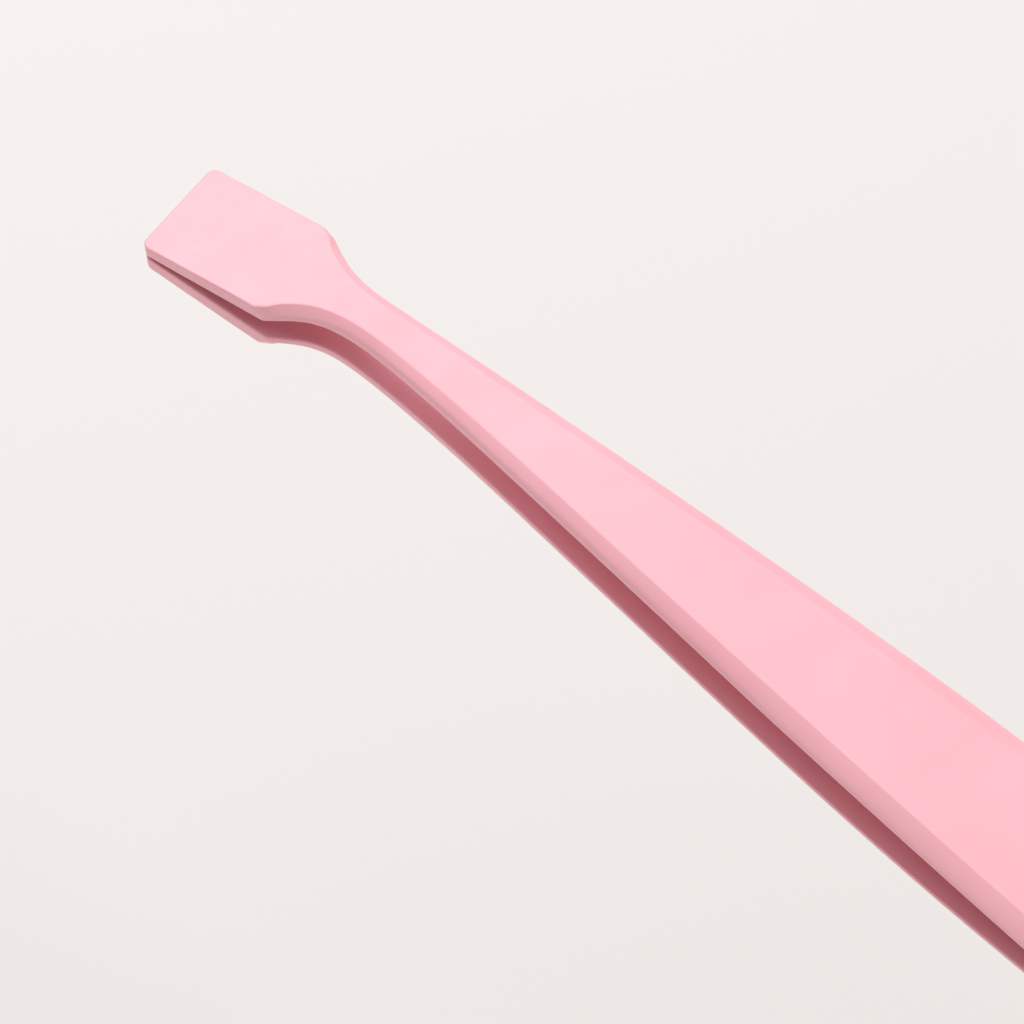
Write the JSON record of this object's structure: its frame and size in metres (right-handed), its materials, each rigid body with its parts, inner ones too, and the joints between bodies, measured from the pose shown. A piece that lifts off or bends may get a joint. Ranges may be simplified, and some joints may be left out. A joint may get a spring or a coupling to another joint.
{
  "type": "squeeze tweezers",
  "caption": "Squeeze tweezers of two bent steel strips welded at the tail, with broad flat paddle heads turned slightly off the arms' axis.",
  "frame": {"origin": "middle of the lower strip's flat grip face, which the tweezers rest on", "axes": "+X from the tips to the welded tail along the arms' centreline, +Y across the strips, +Z from the lower strip to the upper"},
  "size_m": [0.1102, 0.0112, 0.0059],
  "materials": {
    "coated_steel": "satin powder coat",
    "weld_steel": "fused steel"
  },
  "bodies": {
    "tail": {"upper_tail": "coated_steel", "lower_tail": "coated_steel", "spot_welds": "weld_steel"},
    "upper": {"upper_arm": "coated_steel"},
    "lower": {"lower_arm": "coated_steel"}
  },
  "joints": [
    {"name": "upper_arm_spring", "type": "hinge", "parent": "tail", "child": "upper", "pos_m": [0.0515, 0, 0.00416], "axis": [0, 1, 0], "range_deg": [0, 2.2], "stiffness_Nm_per_rad": 2, "springref_deg": 2.2},
    {"name": "lower_arm_spring", "type": "hinge", "parent": "tail", "child": "lower", "pos_m": [0.0515, 0, 0.00176], "axis": [0, -1, 0], "range_deg": [0, 2.2], "stiffness_Nm_per_rad": 2, "springref_deg": 2.2}
  ],
  "couplings": [
    {"joint": "lower_arm_spring", "follows": "upper_arm_spring", "ratio": 1}
  ]
}
